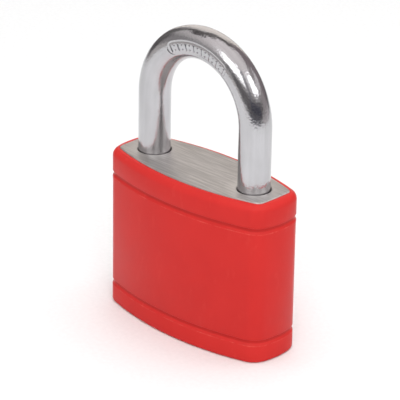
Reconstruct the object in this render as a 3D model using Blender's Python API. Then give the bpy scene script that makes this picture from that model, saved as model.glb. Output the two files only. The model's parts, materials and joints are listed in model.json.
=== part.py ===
"""Combination padlock: round steel shackle, die-cast body in a red jacket, four dials in the base.

Sizes are in millimetres and become metres where the meshes are made. +X runs along the width
towards the toe leg, -Y is the front and +Z is up. The origin is the middle of the rim that the
lock stands on. The model shows the lock closed and in its code-setting state: the fence lies
in the tumbler gates, the bolts are drawn in, and the tumblers stand clear of the dial splines.
"""
import math

import bmesh
import bpy
from mathutils import Matrix, Vector

MM = 0.001

# Outer shape
END_X = 26.1                # half width, without the bulge of the ends
DEPTH = 23.0
END_DEPTH = 13.8            # depth where the two long arcs reach the ends
CORNER = 5.0
HEIGHT = 41.8
ARC_STEPS = 7               # steps of the outline on a quarter's long arc
CORNER_STEPS = 5
END_STEPS = 2

# Jacket
JACKET_BULGE = 0.4          # how far its ends bulge past END_X
JACKET_WALL = 1.9
JACKET_LIP = 41.55          # height of its upper lip, just under the metal top
RIM_ROUND = 0.8
SHOULDER = 1.9              # radius of the rounded upper edge
GROOVE_HEIGHTS = (5.5, 35.1)
GROOVE_HALF = 0.75
GROOVE_DEPTH = 0.38

# Body
BODY_CORNER = 3.8           # tighter than the jacket's corner
BODY_BULGE = 0.1
BODY_INSET = JACKET_WALL + 0.15
BODY_FOOT = 0.5
TOP_CHAMFER = 0.25
CAVITY_INSET = BODY_INSET + 1.5
CAVITY_ROOF = 17.2

# Shackle
ROD = 4.0                   # radius
LEG_X = 16.9
BEND_Z = HEIGHT + 15.3      # height where the legs end and the half-round bow starts
LIFT = 12.5
TOE_END = 30.6
HEEL_END = 17.0
NECK_LOW = 19.0
NECK_HIGH = 25.2
NECK = 2.6                  # radius
BORE = ROD + 0.2
TOE_FLOOR = 28.1

# Bolts, and the wedge that drives them at 45 degrees
THROW = 1.4
BOLT_Z = 35.2
BOLT = 1.9                  # radius
BOLT_TIP = 12.55
NOTCH_X = LEG_X - ROD + THROW
NOTCH_HALF = 2.3
WEDGE_TOP = 37.4
WEDGE_TOP_HALF = 1.1
WEDGE_HALF = 5.3
WEDGE_FOOT = 32.6
SLOT_HALF = 6.0
SLOT_TOP = 39.2

# Dials and tumblers, all on one spindle along X
DIALS = 4
DIGITS = 10
AXIS_Z = 6.9
DIAL = 6.6                  # radius
DIAL_WIDTH = 4.8
PITCH = 6.4
DIAL_NOTCH = 0.5
WEB_HALF = 1.1
COUNTERBORE = 5.0
FLANGE = 4.6                # radius of the tumbler's gate flange
SLEEVE = 3.05
SPINDLE = 1.2
SHIFT = 1.3                 # travel of the code change
FENCE_X = 3.2               # from a dial's middle to its fence tooth

# Change slide: the low face of its fork, its thickness, and the tab that shows in the base
SLIDE_X = 13.4
SLIDE_THICK = 0.8
TAB_X = (SLIDE_X - 0.1, SLIDE_X + 1.5)
TAB_HALF = 1.8

# Base
PLATE_LOW = 0.85
PLATE_HIGH = 2.0
PLATE_INSET = CAVITY_INSET + 0.2
POST_X = 18.9
SCREW_SHANK = 1.15

# Bearing plates, as (low x, high x, half depth)
LEFT_BEARING = (-14.1, -13.1, 6.2)
RIGHT_BEARING = (15.8, 16.6, 5.7)

GAP = 0.3
PIN_X = -20.85
PIN_Z = NECK_LOW + LIFT + 1.25


def material(name, color, metallic, roughness):
    made = bpy.data.materials.new(name)
    made.use_nodes = True
    shader = made.node_tree.nodes["Principled BSDF"]
    shader.inputs["Base Color"].default_value = (*color, 1.0)
    shader.inputs["Metallic"].default_value = metallic
    shader.inputs["Roughness"].default_value = roughness
    made.diffuse_color = (*color, 1.0)
    return made


def make(name, solid, look, origin=(0.0, 0.0, 0.0)):
    """Turn a bmesh in millimetres into a named object whose origin stands at origin."""
    bmesh.ops.recalc_face_normals(solid, faces=solid.faces)
    shift = Matrix.Translation(-Vector(origin))
    solid.transform(Matrix.Scale(MM, 4) @ shift)
    mesh = bpy.data.meshes.new(name)
    solid.to_mesh(mesh)
    solid.free()
    mesh.materials.append(look)
    made = bpy.data.objects.new(name, mesh)
    made.location = Vector(origin) * MM
    bpy.context.collection.objects.link(made)
    return made


def combine(target, tools, operation):
    """Cut the tools out of the target, or join them to it, and keep the result as its mesh."""
    for tool in tools:
        tool.hide_render = True
        tool.display_type = "WIRE"
        step = target.modifiers.new(operation, "BOOLEAN")
        step.operation = operation
        step.solver = "EXACT"
        step.object = tool
    graph = bpy.context.evaluated_depsgraph_get()
    mesh = bpy.data.meshes.new_from_object(target.evaluated_get(graph))
    mesh.name = target.name
    target.modifiers.clear()
    target.data = mesh
    for tool in tools:
        bpy.data.objects.remove(tool)


def smooth(made, angle=35.0):
    made.data.shade_smooth()
    made.data.set_sharp_from_angle(angle=math.radians(angle))


def place(point, along, axis):
    """A point of a flat outline at a distance along the axis that it is extruded on."""
    if axis == "X":
        return Vector((along, point[0], point[1]))
    if axis == "Y":
        return Vector((point[0], along, point[1]))
    return Vector((point[0], point[1], along))


def loft(rings, closed_loop=False):
    """Skin a row of rings, with a cap on each end or with the last joined to the first."""
    solid = bmesh.new()
    loops = [[solid.verts.new(point) for point in ring] for ring in rings]
    pairs = list(zip(loops, loops[1:]))
    if closed_loop:
        pairs.append((loops[-1], loops[0]))
    for low, high in pairs:
        for i in range(len(low)):
            j = (i + 1) % len(low)
            solid.faces.new((low[i], low[j], high[j], high[i]))
    if not closed_loop:
        solid.faces.new(list(reversed(loops[0])))
        solid.faces.new(loops[-1])
    return solid


def prism(outline, low, high, axis="Z"):
    return loft([[place(point, along, axis) for point in outline] for along in (low, high)])


def block(low, high):
    outline = ((low[0], low[1]), (high[0], low[1]), (high[0], high[1]), (low[0], high[1]))
    return prism(outline, low[2], high[2])


def circle(radius, centre=(0.0, 0.0), steps=24):
    turns = [2 * math.pi * i / steps for i in range(steps)]
    return [(centre[0] + radius * math.cos(a), centre[1] + radius * math.sin(a)) for a in turns]


def turned(profile, centre, axis, steps=20):
    """A solid of revolution: profile is a row of (radius, distance along the axis)."""
    return loft([[place(p, along, axis) for p in circle(radius, centre, steps)]
                 for radius, along in profile])


def sweep(path, radii, sides, up):
    """A round section carried along a path."""
    rings = []
    for i, point in enumerate(path):
        ahead = path[min(i + 1, len(path) - 1)] - path[max(i - 1, 0)]
        side = ahead.normalized().cross(up).normalized()
        other = side.cross(ahead.normalized())
        ring = []
        for k in range(sides):
            turn = 2 * math.pi * k / sides
            ring.append(point + (side * math.cos(turn) + other * math.sin(turn)) * radii[i])
        rings.append(ring)
    return loft(rings)


def arc_points(centre, radius, first, last, steps):
    turns = [first + (last - first) * i / steps for i in range(steps + 1)]
    return [(centre[0] + radius * math.cos(a), centre[1] + radius * math.sin(a)) for a in turns]


def lens(inset, corner=CORNER, bulge=BODY_BULGE):
    """The outline moved inwards: two long arcs, four round corners and two slightly bulging ends.

    A quarter of it is three arcs, each tangent to the next.
    """
    bow = (DEPTH - END_DEPTH) / 2
    arc = (END_X ** 2 + bow ** 2) / (2 * bow)
    arc_y = arc - DEPTH / 2
    corner_x = END_X - corner
    corner_y = arc_y - math.sqrt((arc - corner) ** 2 - corner_x ** 2)
    reach = (corner_y ** 2 - bulge ** 2) / (2 * bulge)
    end = reach + bulge + corner
    first = math.atan2(corner_y - arc_y, corner_x)
    second = math.atan2(corner_y, reach)
    quarter = arc_points((0, arc_y), arc - inset, -math.pi / 2, first, ARC_STEPS)
    quarter += arc_points((corner_x, corner_y), corner - inset, first, second, CORNER_STEPS)[1:]
    quarter += arc_points((corner_x - reach, 0), end - inset, second, 0, END_STEPS)[1:]
    right = quarter + [(x, -y) for x, y in reversed(quarter[:-1])]
    left = [(-x, y) for x, y in reversed(right[1:-1])]
    return right + left


def raised(outline, z):
    return [Vector((x, y, z)) for x, y in outline]


def round_edge(radius, centre_inset, centre_z, first, last, steps):
    """Rings of (inset, z) on a quarter round; angle 0 points outwards and 90 degrees up."""
    made = []
    for i in range(steps + 1):
        turn = math.radians(first + (last - first) * i / steps)
        made.append((centre_inset - radius * math.cos(turn), centre_z + radius * math.sin(turn)))
    return made


def build_jacket(look):
    """A moulded sleeve: its section runs up the outside and back down the inside."""
    section = round_edge(RIM_ROUND, RIM_ROUND, RIM_ROUND, -90, 0, 4)
    for z in GROOVE_HEIGHTS:
        section.append((0.0, z - GROOVE_HALF))
        section.append((GROOVE_DEPTH, z - GROOVE_HALF * 0.2))
        section.append((GROOVE_DEPTH, z + GROOVE_HALF * 0.7))
        section.append((0.0, z + GROOVE_HALF))
    section += round_edge(SHOULDER, SHOULDER, JACKET_LIP - SHOULDER, 0, 78, 6)
    rings = [raised(lens(inset, CORNER, JACKET_BULGE), z) for inset, z in section]
    rings += [raised(lens(JACKET_WALL, BODY_CORNER), z) for z in (JACKET_LIP, 0.0)]
    smooth(make("jacket", loft(rings, closed_loop=True), look), 50)


def dial_places():
    return [(n - (DIALS - 1) / 2) * PITCH for n in range(DIALS)]


def guide_screw_places():
    return ((-7.2, 2.8), (7.2, -2.8))


def click_rivet_places():
    return ((-6.4, 5.2), (6.4, 5.2))


def build_body(look, tool_look):
    edge = ((BODY_INSET, BODY_FOOT), (BODY_INSET, HEIGHT - TOP_CHAMFER), (BODY_INSET + TOP_CHAMFER, HEIGHT))
    body = make("lock_body", loft([raised(lens(inset, BODY_CORNER), z) for inset, z in edge]), look)
    above = HEIGHT + 2
    cuts = [
        prism(lens(CAVITY_INSET), -1, CAVITY_ROOF),
        turned(((BORE, CAVITY_ROOF - 2), (BORE, above)), (-LEG_X, 0), "Z", 32),
        turned(((BORE, TOE_FLOOR), (BORE, above)), (LEG_X, 0), "Z", 32),
        turned(((SCREW_SHANK + 0.2, CAVITY_ROOF - 2), (SCREW_SHANK + 0.2, TOE_FLOOR + 1)),
               (POST_X, 0), "Z", 16),
        block((-SLOT_HALF, -2.5, CAVITY_ROOF - 1), (SLOT_HALF, 2.5, SLOT_TOP)),
        turned(((BOLT + 0.15, -LEG_X + 2.2), (BOLT + 0.15, LEG_X - 2.2)), (0, BOLT_Z), "X", 20),
        block((-9.2, -4.2, CAVITY_ROOF - 0.5), (9.2, 4.2, CAVITY_ROOF + 1.5)),
        turned(((1.15, -9.0), (1.15, 9.0)), (PIN_X, PIN_Z), "Y", 16),
        block((-END_X + 2.7, -2.8, PLATE_LOW - 0.2), (-END_X + 4.5, 2.8, PLATE_HIGH + 0.2)),
    ]
    for x, y in guide_screw_places():
        cuts.append(turned(((0.95, CAVITY_ROOF), (0.95, CAVITY_ROOF + 5.5)), (x, y), "Z", 12))
    for x, y in click_rivet_places():
        cuts.append(turned(((0.7, CAVITY_ROOF - 0.5), (0.7, CAVITY_ROOF + 2.2)), (x, y), "Z", 12))
    tools = [make("body_cutter", cut, tool_look) for cut in cuts]
    combine(body, tools, "DIFFERENCE")
    smooth(body)


def build_shackle(look, tool_look):
    path = []
    radii = []
    heel = ((HEEL_END, ROD - 0.6), (HEEL_END + 0.6, ROD), (NECK_LOW, ROD), (NECK_LOW + 0.3, NECK),
            (NECK_HIGH - 0.4, NECK), (NECK_HIGH, ROD))
    for z, radius in heel:
        path.append(Vector((-LEG_X, 0, z)))
        radii.append(radius)
    bow_steps = 24
    for i in range(bow_steps + 1):
        turn = math.pi * (1 - i / bow_steps)
        path.append(Vector((LEG_X * math.cos(turn), 0, BEND_Z + LEG_X * math.sin(turn))))
        radii.append(ROD)
    for z, radius in ((TOE_END + 0.6, ROD), (TOE_END, ROD - 0.6)):
        path.append(Vector((LEG_X, 0, z)))
        radii.append(radius)
    shackle = make("shackle", sweep(path, radii, 24, Vector((0, 1, 0))), look,
                   (-LEG_X, 0, HEIGHT))
    low, high = BOLT_Z - NOTCH_HALF, BOLT_Z + NOTCH_HALF
    milled_x = PIN_X + 1 + GAP
    cuts = [
        block((NOTCH_X - 4, -5, low), (NOTCH_X, 5, high)),
        block((-NOTCH_X, -5, low), (-NOTCH_X + 4, 5, high)),
        block((milled_x - 4, -5, NECK_HIGH - 1), (milled_x, 5, PIN_Z + 1 + GAP)),
    ]
    tools = [make("shackle_cutter", cut, tool_look) for cut in cuts]
    combine(shackle, tools, "DIFFERENCE")
    smooth(shackle)


def coil(name, centre, radius, wire, low, high, turns, look):
    """A compression spring standing between two heights, with a closed coil at each end."""
    steps = 10 * turns
    closing = 2.5 * wire
    rise = high - low - 2 * wire
    inner_rise = rise - 2 * closing
    path = []
    for i in range(steps + 1):
        turn = turns * i / steps
        if turn < 1:
            z = closing * turn
        elif turn > turns - 1:
            z = rise - closing * (turns - turn)
        else:
            z = closing + inner_rise * (turn - 1) / (turns - 2)
        angle = 2 * math.pi * turn
        path.append(Vector((centre[0] + radius * math.cos(angle),
                            centre[1] + radius * math.sin(angle), low + wire + z)))
    smooth(make(name, sweep(path, [wire] * len(path), 5, Vector((0, 0, 1))), look,
                (centre[0], centre[1], low)), 60)


def build_heel_gear(steel, spring_steel):
    """What retains the heel leg and lifts the shackle."""
    pin = turned(((0.8, -6.2), (1.0, -6.0), (1.0, 6.0), (0.8, 6.2)), (PIN_X, PIN_Z), "Y", 16)
    smooth(make("retaining_pin", pin, steel, (PIN_X, 0, PIN_Z)))
    cup = ((0.9, 13.6), (1.1, 13.9), (1.1, 15.6), (2.4, 15.6), (2.4, 16.5), (2.2, HEEL_END - GAP))
    smooth(make("spring_cup", turned(cup, (-LEG_X, 0), "Z"), steel, (-LEG_X, 0, HEEL_END)))
    coil("shackle_spring", (-LEG_X, 0), 1.85, 0.3, PLATE_HIGH + 0.2, 15.4, 8, spring_steel)


def dial_outline():
    """Ten shallow faces with a click notch between each two; a face looks down at rest."""
    outline = []
    for digit in range(DIGITS):
        middle = -math.pi / 2 + 2 * math.pi * digit / DIGITS
        for degrees in (-13, -4.5, 4.5, 13):
            turn = middle + math.radians(degrees)
            outline.append((DIAL * math.cos(turn), DIAL * math.sin(turn)))
        turn = middle + math.pi / DIGITS
        outline.append(((DIAL - DIAL_NOTCH) * math.cos(turn), (DIAL - DIAL_NOTCH) * math.sin(turn)))
    return outline


def toothed(root, tip, root_half, tip_half):
    """Ten straight-flanked teeth, as (radius, half width in degrees) at their root and tip."""
    outline = []
    for tooth in range(DIGITS):
        middle = 360 * tooth / DIGITS - 90
        for radius, degrees in ((root, -root_half), (tip, -tip_half), (tip, tip_half), (root, root_half)):
            turn = math.radians(middle + degrees)
            outline.append((radius * math.cos(turn), radius * math.sin(turn)))
    return outline


def on_axis(name, mesh, x):
    """A copy of a piece that turns on the spindle, at its own place along it."""
    made = bpy.data.objects.new(name, mesh)
    made.location = Vector((x, 0, AXIS_Z)) * MM
    bpy.context.collection.objects.link(made)


def build_dials(look, tool_look):
    pattern = make("dial_pattern", prism(dial_outline(), -DIAL_WIDTH / 2, DIAL_WIDTH / 2, "X"), look)
    cuts = [
        prism(toothed(3.4, 4.4, 13.5, 11.0), -DIAL_WIDTH, DIAL_WIDTH, "X"),
        turned(((COUNTERBORE, -DIAL_WIDTH), (COUNTERBORE, -WEB_HALF)), (0, 0), "X", 30),
        turned(((COUNTERBORE, WEB_HALF), (COUNTERBORE, DIAL_WIDTH)), (0, 0), "X", 30),
    ]
    tools = [make("dial_cutter", cut, tool_look) for cut in cuts]
    combine(pattern, tools, "DIFFERENCE")
    smooth(pattern, 30)
    for number, x in enumerate(dial_places(), 1):
        on_axis(f"dial_{number}", pattern.data, x)
    bpy.data.objects.remove(pattern)


def build_tumblers(look, tool_look):
    """Sleeves inside the dials: a clutch ring that enters the splines, and a gate flange."""
    low, high = -2.6, FENCE_X + 0.4
    pattern = make("tumbler_pattern", turned(((SLEEVE, low), (SLEEVE, high)), (0, 0), "X"), look)
    ring_high = -WEB_HALF - 0.2
    ring = prism(toothed(SLEEVE - 0.2, 4.05, 8.5, 6.5), ring_high - 1, ring_high, "X")
    flange = turned(((FLANGE, FENCE_X - 1.8), (FLANGE, high)), (0, 0), "X", 30)
    tools = [make("tumbler_joiner", solid, tool_look) for solid in (ring, flange)]
    combine(pattern, tools, "UNION")
    bore = turned(((SPINDLE + 0.15, -4), (SPINDLE + 0.15, 5)), (0, 0), "X", 16)
    gate = block((FENCE_X - 2.5, -1.05, 2.8), (FENCE_X + 1, 1.05, 6))
    tools = [make("tumbler_cutter", cut, tool_look) for cut in (bore, gate)]
    combine(pattern, tools, "DIFFERENCE")
    smooth(pattern, 30)
    for number, x in enumerate(dial_places(), 1):
        on_axis(f"tumbler_{number}", pattern.data, x)
    bpy.data.objects.remove(pattern)


def build_spindle_parts(steel, spring_steel, tool_look):
    """The axle, the two plates that carry it, and the spring that seats the tumblers."""
    head = LEFT_BEARING[0] - 0.1
    end = RIGHT_BEARING[1] + 0.1
    profile = ((1.6, head - 0.35), (1.8, head - 0.2), (1.8, head), (SPINDLE, head), (SPINDLE, end - 0.2),
               (SPINDLE - 0.2, end))
    smooth(make("spindle", turned(profile, (0, AXIS_Z), "X"), steel, (0, 0, AXIS_Z)))
    for name, (low, high, half) in (("bearing_plate_left", LEFT_BEARING),
                                    ("bearing_plate_right", RIGHT_BEARING)):
        plate = make(name, block((low, -half, PLATE_HIGH + 0.25), (high, half, CAVITY_ROOF - GAP)), steel)
        hole = turned(((SPINDLE + 0.1, low - 1), (SPINDLE + 0.1, high + 1)), (0, AXIS_Z), "X", 20)
        combine(plate, [make("bearing_cutter", hole, tool_look)], "DIFFERENCE")
    middle = LEFT_BEARING[1] + 0.45
    rings = []
    steps = 24
    for i in range(steps):
        turn = 2 * math.pi * i / steps
        x = middle + 0.2 * math.sin(3 * turn)
        rings.append([Vector((x + dx, r * math.cos(turn), AXIS_Z + r * math.sin(turn)))
                      for r, dx in ((1.5, -0.1), (2.6, -0.1), (2.6, 0.1), (1.5, 0.1))])
    smooth(make("wave_spring", loft(rings, closed_loop=True), spring_steel, (middle, 0, AXIS_Z)))


def build_fence(look, tool_look):
    """A toothed bar over the tumblers, with the stem and wedge that hold the bolts out."""
    bar_low, bar_high = DIAL + AXIS_Z + 0.4, DIAL + AXIS_Z + 2.0
    outline = ((-8, bar_low), (FENCE_X + dial_places()[-1] + 0.6, bar_low),
               (FENCE_X + dial_places()[-1] + 0.6, bar_high), (1.9, bar_high), (1.9, WEDGE_FOOT),
               (WEDGE_HALF, WEDGE_FOOT), (WEDGE_HALF, WEDGE_TOP - WEDGE_HALF + WEDGE_TOP_HALF),
               (WEDGE_TOP_HALF, WEDGE_TOP), (-WEDGE_TOP_HALF, WEDGE_TOP),
               (-WEDGE_HALF, WEDGE_TOP - WEDGE_HALF + WEDGE_TOP_HALF), (-WEDGE_HALF, WEDGE_FOOT),
               (-1.9, WEDGE_FOOT), (-1.9, bar_high), (-8, bar_high))
    fence = make("fence", prism(outline, -1.5, 1.5, "Y"), look, (0, 0, bar_high))
    tools = []
    for x in dial_places():
        tooth = block((x + FENCE_X - 0.4, -0.7, AXIS_Z + 3.3), (x + FENCE_X + 0.4, 0.7, bar_low + 0.5))
        tools.append(make("fence_tooth", tooth, tool_look))
    combine(fence, tools, "UNION")


def build_bolts(look, tool_look):
    slope = WEDGE_TOP + WEDGE_TOP_HALF + 0.4      # x + z on the slanted inner face
    for name, side in (("toe_bolt", 1), ("heel_bolt", -1)):
        profile = ((BOLT, side * 0.5), (BOLT, side * (BOLT_TIP - 0.8)), (1.0, side * BOLT_TIP))
        bolt = make(name, turned(profile, (0, BOLT_Z), "X"), look, (side * BOLT_TIP, 0, BOLT_Z))
        outline = [(side * x, z) for x, z in ((slope - 40, 40), (slope - 30, 30), (-3, 30), (-3, 40))]
        cutter = make("bolt_cutter", prism(outline, -4, 4, "Y"), tool_look)
        combine(bolt, [cutter], "DIFFERENCE")
        smooth(bolt)


def build_fence_gear(steel, spring_steel, tool_look):
    """The forked plate under the fence springs, its screws, and the springs."""
    low, high = CAVITY_ROOF + 0.1, CAVITY_ROOF + 1.3
    guide = make("fence_guide", block((-9, -4, low), (9, 4, high)), steel)
    cuts = [block((-2.2, -5, low - 1), (2.2, 1.9, high + 1))]
    for x, y in guide_screw_places():
        cuts.append(turned(((0.85, low - 1), (0.85, high + 1)), (x, y), "Z", 12))
    combine(guide, [make("guide_cutter", cut, tool_look) for cut in cuts], "DIFFERENCE")
    for number, (x, y) in enumerate(guide_screw_places(), 1):
        profile = ((1.0, low - 1.0), (1.3, low - 0.7), (1.3, low - 0.15), (0.7, low - 0.15), (0.7, low + 5.0))
        screw = turned(profile, (x, y), "Z", 12)
        smooth(make(f"guide_screw_{number}", screw, steel, (x, y, low)))
    for name, x in (("fence_spring_left", -4.0), ("fence_spring_right", 4.0)):
        coil(name, (x, 0), 1.15, 0.22, high + 0.15, WEDGE_FOOT - 0.15, 8, spring_steel)


def build_click_spring(look, rivet_look, tool_look):
    """One leaf with a finger for each dial; the finger's tip lies in a click notch."""
    top = CAVITY_ROOF - 0.25
    leaf = make("click_spring", block((-12, 4.25, top - 0.4), (12, 6.15, top)), look)
    turn = 2 * math.pi / DIGITS
    tip = (0.99 * DIAL * math.cos(turn), AXIS_Z + 0.99 * DIAL * math.sin(turn))
    middle_line = ((5.9, top - 0.2), (6.25, 14.0), (6.25, 12.3), tip)
    half = 0.16
    outline = [(y + half, z) for y, z in middle_line] + [(y - half, z) for y, z in reversed(middle_line)]
    tools = []
    for x in dial_places():
        tools.append(make("click_finger", prism(outline, x - 1.2, x + 1.2, "X"), tool_look))
    combine(leaf, tools, "UNION")
    holes = []
    for x, y in click_rivet_places():
        hole = turned(((0.65, top - 1), (0.65, top + 1)), (x, y), "Z", 12)
        holes.append(make("click_cutter", hole, tool_look))
    combine(leaf, holes, "DIFFERENCE")
    for name, (x, y) in zip(("click_rivet_left", "click_rivet_right"), click_rivet_places()):
        profile = ((0.7, top - 1.1), (1.0, top - 0.9), (1.0, top - 0.55), (0.5, top - 0.55), (0.5, top + 2.2))
        smooth(make(name, turned(profile, (x, y), "Z", 12), rivet_look, (x, y, top)))


def build_base(plate_look, steel, tool_look):
    """The cover plate with its four windows, and the post and screw that hold it."""
    plate = make("bottom_plate", prism(lens(PLATE_INSET), PLATE_LOW, PLATE_HIGH), plate_look)
    end = -END_X - BODY_BULGE + PLATE_INSET
    tongue = make("plate_tongue", block((end - 0.7, -2.5, PLATE_LOW), (end + 2, 2.5, PLATE_HIGH)), tool_look)
    combine(plate, [tongue], "UNION")
    chord = math.sqrt(DIAL ** 2 - (AXIS_Z - PLATE_HIGH) ** 2) + 0.4
    half = DIAL_WIDTH / 2 + 0.25
    cuts = [block((x - half, -chord, -1), (x + half, chord, 4)) for x in dial_places()]
    slot_low, slot_high = TAB_X[0] - GAP, TAB_X[1] + SHIFT + GAP
    cuts.append(block((slot_low, -TAB_HALF - GAP, -1), (slot_high, TAB_HALF + GAP, 4)))
    cuts.append(turned(((1.3, -1), (1.3, 4)), (POST_X, 0), "Z", 16))
    combine(plate, [make("plate_cutter", cut, tool_look) for cut in cuts], "DIFFERENCE")

    profile = ((0.9, 0.5), (1.1, 0.7), (1.1, PLATE_HIGH + 0.15), (1.9, PLATE_HIGH + 0.15),
               (1.9, CAVITY_ROOF - 0.25))
    post = make("cover_post", turned(profile, (POST_X, 0), "Z"), steel, (POST_X, 0, PLATE_HIGH))
    hole = turned(((SCREW_SHANK + 0.15, 12.5), (SCREW_SHANK + 0.15, 20)), (POST_X, 0), "Z", 16)
    combine(post, [make("post_cutter", hole, tool_look)], "DIFFERENCE")
    smooth(post)

    floor = TOE_FLOOR + 0.2
    profile = ((SCREW_SHANK - 0.3, 13.2), (SCREW_SHANK, 13.6), (SCREW_SHANK, floor), (2.0, floor),
               (2.0, floor + 1.3), (1.8, floor + 1.5))
    screw = make("assembly_screw", turned(profile, (POST_X, 0), "Z"), steel, (POST_X, 0, floor))
    socket = turned(((0.9, floor + 0.5), (0.9, floor + 3)), (POST_X, 0), "Z", 6)
    combine(screw, [make("socket_cutter", socket, tool_look)], "DIFFERENCE")
    smooth(screw)


def build_change_slide(look, tool_look):
    """The tab in the base and the fork that pushes the row of tumblers off the splines."""
    low, high = SLIDE_X, SLIDE_X + SLIDE_THICK
    slide = make("change_slide", block((low, -3.0, 2.4), (high, 3.0, 10.5)), look, (low, 0, PLATE_HIGH))
    tab = block((TAB_X[0], -TAB_HALF, 0.35), (TAB_X[1], TAB_HALF, PLATE_HIGH - 0.05))
    neck = block((low, -1.5, 1.5), (high, 1.5, 3))
    joiners = [make("slide_joiner", solid, tool_look) for solid in (tab, neck)]
    combine(slide, joiners, "UNION")
    reach = SPINDLE + GAP
    fork = block((low - 1, -reach, AXIS_Z - reach), (high + 1, reach, 12))
    combine(slide, [make("fork_cutter", fork, tool_look)], "DIFFERENCE")


def main():
    for leftover in list(bpy.data.objects):
        bpy.data.objects.remove(leftover)
    red = material("red_vinyl", (0.62, 0.035, 0.03), 0.0, 0.35)
    cast = material("brushed_zinc", (0.62, 0.61, 0.59), 1.0, 0.38)
    chrome = material("polished_steel", (0.72, 0.72, 0.73), 1.0, 0.14)
    plate = material("plate_steel", (0.50, 0.50, 0.50), 1.0, 0.35)
    steel = material("plain_steel", (0.45, 0.45, 0.46), 1.0, 0.42)
    spring_steel = material("spring_steel", (0.30, 0.31, 0.33), 1.0, 0.35)
    brass = material("brass", (0.66, 0.46, 0.18), 1.0, 0.32)
    dial_black = material("dial_black", (0.025, 0.025, 0.028), 0.0, 0.40)
    tool_look = material("tool", (0.5, 0.5, 0.5), 0.0, 0.5)
    build_jacket(red)
    build_body(cast, tool_look)
    build_shackle(chrome, tool_look)
    build_heel_gear(steel, spring_steel)
    build_dials(dial_black, tool_look)
    build_tumblers(brass, tool_look)
    build_spindle_parts(steel, spring_steel, tool_look)
    build_fence(steel, tool_look)
    build_bolts(steel, tool_look)
    build_fence_gear(plate, spring_steel, tool_look)
    build_click_spring(spring_steel, steel, tool_look)
    build_base(plate, steel, tool_look)
    build_change_slide(steel, tool_look)


main()
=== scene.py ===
"""Looks of the combination padlock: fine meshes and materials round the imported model.

Shapes are worked out in millimetres, as on a drawing, and become metres where a mesh is made.
+X runs along the width towards the toe leg, -Y is the front and +Z is up.
"""
import json
import math

import bmesh
import bpy
from mathutils import Matrix, Vector


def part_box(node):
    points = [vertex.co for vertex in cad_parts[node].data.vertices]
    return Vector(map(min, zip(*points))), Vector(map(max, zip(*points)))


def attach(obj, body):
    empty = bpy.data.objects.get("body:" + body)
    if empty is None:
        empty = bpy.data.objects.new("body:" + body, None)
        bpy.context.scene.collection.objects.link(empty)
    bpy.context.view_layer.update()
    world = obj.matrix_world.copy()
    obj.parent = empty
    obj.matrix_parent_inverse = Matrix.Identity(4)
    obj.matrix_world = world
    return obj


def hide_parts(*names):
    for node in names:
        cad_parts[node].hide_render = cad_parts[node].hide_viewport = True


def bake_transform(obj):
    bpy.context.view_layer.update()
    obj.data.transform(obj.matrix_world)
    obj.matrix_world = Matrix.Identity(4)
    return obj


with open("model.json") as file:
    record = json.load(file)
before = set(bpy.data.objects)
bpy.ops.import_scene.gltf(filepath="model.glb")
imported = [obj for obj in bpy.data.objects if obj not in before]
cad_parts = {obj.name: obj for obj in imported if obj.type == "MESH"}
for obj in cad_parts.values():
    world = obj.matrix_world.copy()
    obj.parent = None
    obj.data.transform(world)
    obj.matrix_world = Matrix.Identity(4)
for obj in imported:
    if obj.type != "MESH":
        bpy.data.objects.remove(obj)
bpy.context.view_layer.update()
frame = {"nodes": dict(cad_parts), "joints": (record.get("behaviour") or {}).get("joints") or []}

MM = 0.001
DIGITS = 10
DIGIT_HEIGHT = 2.3


def corners(node):
    """A CAD node's lowest and highest corners in millimetres."""
    low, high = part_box(node)
    return low / MM, high / MM


def joint_range(name):
    """A slide's travel in millimetres."""
    travel = next(joint for joint in frame["joints"] if joint["name"] == name)["range_m"]
    return (travel[1] - travel[0]) / MM


# Sizes read from the frame
jacket_low, jacket_high = corners("jacket")
body_low, body_high = corners("lock_body")
shackle_low, shackle_high = corners("shackle")
plate_low, plate_high = corners("bottom_plate")
dial_low, dial_high = corners("dial_1")
post_low, post_high = corners("cover_post")
screw_low, screw_high = corners("assembly_screw")
slide_low, slide_high = corners("change_slide")

JACKET_BULGE = 0.4
END_X = jacket_high.x - JACKET_BULGE
DEPTH = jacket_high.y - jacket_low.y
LIP = jacket_high.z
TOP = body_high.z
BODY_INSET = jacket_high.y - body_high.y
ROD = (shackle_high.y - shackle_low.y) / 2
LEG_X = shackle_high.x - ROD
BEND_Z = shackle_high.z - ROD - LEG_X
DIAL = (dial_high.z - dial_low.z) / 2
LAND = DIAL - 0.20          # the fine wheels clear the fingers of the click spring as they turn
AXIS_Z = (dial_high.z + dial_low.z) / 2
POST_X = (post_low.x + post_high.x) / 2

# Shape of the outline and of the jacket's section; END_DEPTH is how deep the two ends are
END_DEPTH = 13.8
CORNER = 5.0
BODY_CORNER = 3.8
BODY_BULGE = 0.1
JACKET_WALL = BODY_INSET - 0.01
SHOULDER = 1.9
RIM_ROUND = 0.8
GROOVE_HEIGHTS = (5.5, 35.1)
PANEL_INSET = 0.05          # the wall between the two grooves lies this much further in

# A groove's section upwards from its middle, as (height, depth): a long ramp, then a sharp lip
GROOVE = ((-0.90, 0.0), (-0.78, 0.03), (-0.60, 0.13), (-0.38, 0.28), (-0.20, 0.36), (0.0, 0.38),
          (0.40, 0.38), (0.54, 0.35), (0.62, 0.26), (0.67, 0.13), (0.72, 0.04))
CAVITY_INSET = BODY_INSET + 1.5
CAVITY_ROOF = 17.2
PLATE_INSET = CAVITY_INSET + 0.2
POST_BORE = 1.35
TONGUE_HALF = 2.5
GUIDE_RECESS = (9.2, 4.2)   # half sizes of the seat of the plate under the fence springs
FENCE_SLOT = (6.0, 2.5)     # and of the slot in which the fence rises

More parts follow.
